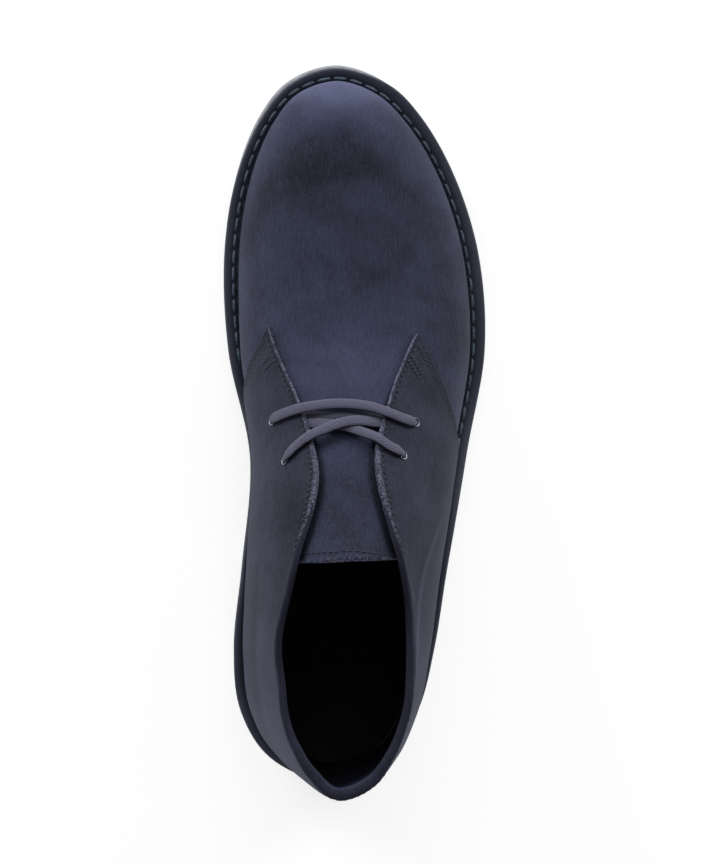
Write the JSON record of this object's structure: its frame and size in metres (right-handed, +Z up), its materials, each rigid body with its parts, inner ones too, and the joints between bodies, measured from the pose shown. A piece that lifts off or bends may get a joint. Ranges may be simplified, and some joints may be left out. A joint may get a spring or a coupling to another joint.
{
  "type": "chukka boot",
  "caption": "Right ankle-high chukka boot with hollow suede upper, overlapping quarters, laced tongue, stitched welt, crepe outsole and low heel block.",
  "frame": {"origin": "middle of the bounding box on the ground plane", "axes": "+Z up, +Y from heel to toe, +X toward the outer side of the right foot"},
  "size_m": [0.111, 0.3, 0.1204],
  "materials": {
    "suede": "napped navy suede",
    "welt_leather": "smooth dark navy",
    "lining_leather": "black lining leather",
    "sole_rubber": "wrinkled dark grey crepe rubber",
    "lace_cotton": "woven slate navy cotton",
    "eyelet_metal": "dark gunmetal enamel"
  },
  "bodies": {
    "root": {"outsole": "sole_rubber", "heel": "sole_rubber", "welt": "welt_leather", "insole": "lining_leather", "upper": "suede", "tongue": "suede", "quarter_lateral": "suede", "quarter_medial": "suede", "lace_bar": "lace_cotton", "lace_crossing": "lace_cotton", "eyelet_medial_front": "eyelet_metal", "eyelet_medial_rear": "eyelet_metal", "eyelet_lateral_front": "eyelet_metal", "eyelet_lateral_rear": "eyelet_metal"}
  },
  "joints": []
}
